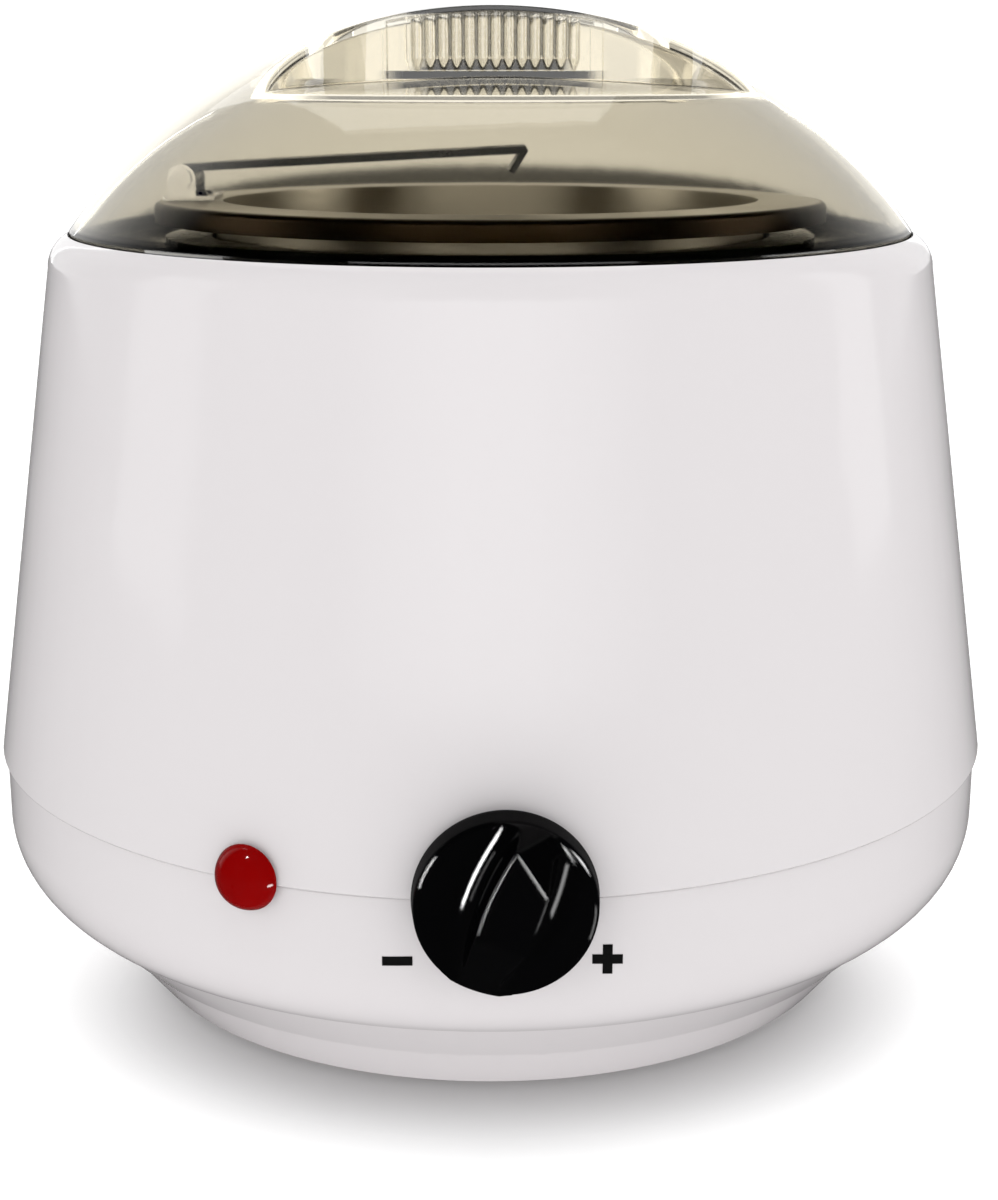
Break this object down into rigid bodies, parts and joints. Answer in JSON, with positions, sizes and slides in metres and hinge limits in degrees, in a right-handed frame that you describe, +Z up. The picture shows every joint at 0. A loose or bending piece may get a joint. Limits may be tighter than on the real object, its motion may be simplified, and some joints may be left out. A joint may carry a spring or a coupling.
{
  "type": "wax warmer",
  "caption": "Round electric wax warmer with a domed smoked lid, lift-out pot, heated well, front heat dial and lamp.",
  "frame": {"origin": "on the table, under the vertical axis of the round body", "axes": "+Z up, the heat dial faces -Y, +X to the right of someone who faces the dial"},
  "size_m": [0.1908, 0.2056, 0.182],
  "materials": {
    "white_plastic": "glossy white ABS",
    "foot_rubber": "matt grey rubber",
    "steel": "zinc-plated steel",
    "smoked_plastic": "clear smoked plastic",
    "well_aluminium": "spun aluminium",
    "band_steel": "mica strip in a steel band",
    "insulation": "pressed glass fibre",
    "sheet_steel": "bright pressed sheet",
    "pot_aluminium": "brushed aluminium",
    "handle_steel": "dark steel strip",
    "black_plastic": "glossy black plastic",
    "spring_brass": "bright brass strip",
    "thermostat_case": "moulded phenolic",
    "copper": "copper tube",
    "red_lens": "clear red plastic",
    "neon_glass": "clear glass",
    "lead_sleeve": "silicone sleeve",
    "block_nylon": "natural nylon",
    "fuse_ceramic": "glazed white ceramic",
    "gland_rubber": "matt white rubber"
  },
  "bodies": {
    "housing": {"upper_shell": "white_plastic", "lower_shell": "white_plastic", "foot_ring": "foot_rubber", "case_screws": "steel", "heating_well": "well_aluminium", "well_stud": "steel", "well_nut": "steel", "heater_band": "band_steel", "band_bolt": "steel", "insulation_sleeve": "insulation", "insulation_disc": "insulation", "heat_shield": "sheet_steel", "shield_screws": "steel", "thermostat_body": "thermostat_case", "thermostat_nut": "steel", "thermostat_bracket": "sheet_steel", "bracket_screws": "steel", "sensor_bulb": "copper", "capillary_tube": "copper", "lamp_lens": "red_lens", "neon_bulb": "neon_glass", "lamp_clip": "sheet_steel", "lamp_leads": "lead_sleeve", "terminal_block": "block_nylon", "block_screw": "steel", "thermal_fuse": "fuse_ceramic", "fuse_clip": "sheet_steel", "heater_leads": "lead_sleeve", "cord_gland": "gland_rubber"},
    "dial": {"heat_dial": "black_plastic", "dial_clip": "spring_brass", "thermostat_shaft": "steel"},
    "pot": {"wax_pot": "pot_aluminium", "handle_hinge": "sheet_steel", "hinge_rivets": "steel", "hinge_pin": "steel"},
    "handle": {"pot_handle": "handle_steel"},
    "lid": {"lid": "smoked_plastic"}
  },
  "joints": [
    {"name": "dial_turn", "type": "hinge", "parent": "housing", "child": "dial", "pos_m": [0, -0.0963, 0.046], "axis": [0, 1, 0], "range_deg": [-145, 105]},
    {"name": "pot_lift", "type": "slide", "parent": "housing", "child": "pot", "axis": [0, 0, 1], "range_m": [0, 0.12]},
    {"name": "lid_lift", "type": "slide", "parent": "pot", "child": "lid", "axis": [0, 0, 1], "range_m": [0, 0.2]},
    {"name": "handle_fold", "type": "hinge", "parent": "pot", "child": "handle", "pos_m": [-0.057, 0, 0.151], "axis": [0, -1, 0], "range_deg": [0, 180]}
  ],
  "couplings": [
    {"joint": "handle_fold", "follows": "lid_lift", "rad_per_m": 15.7}
  ]
}
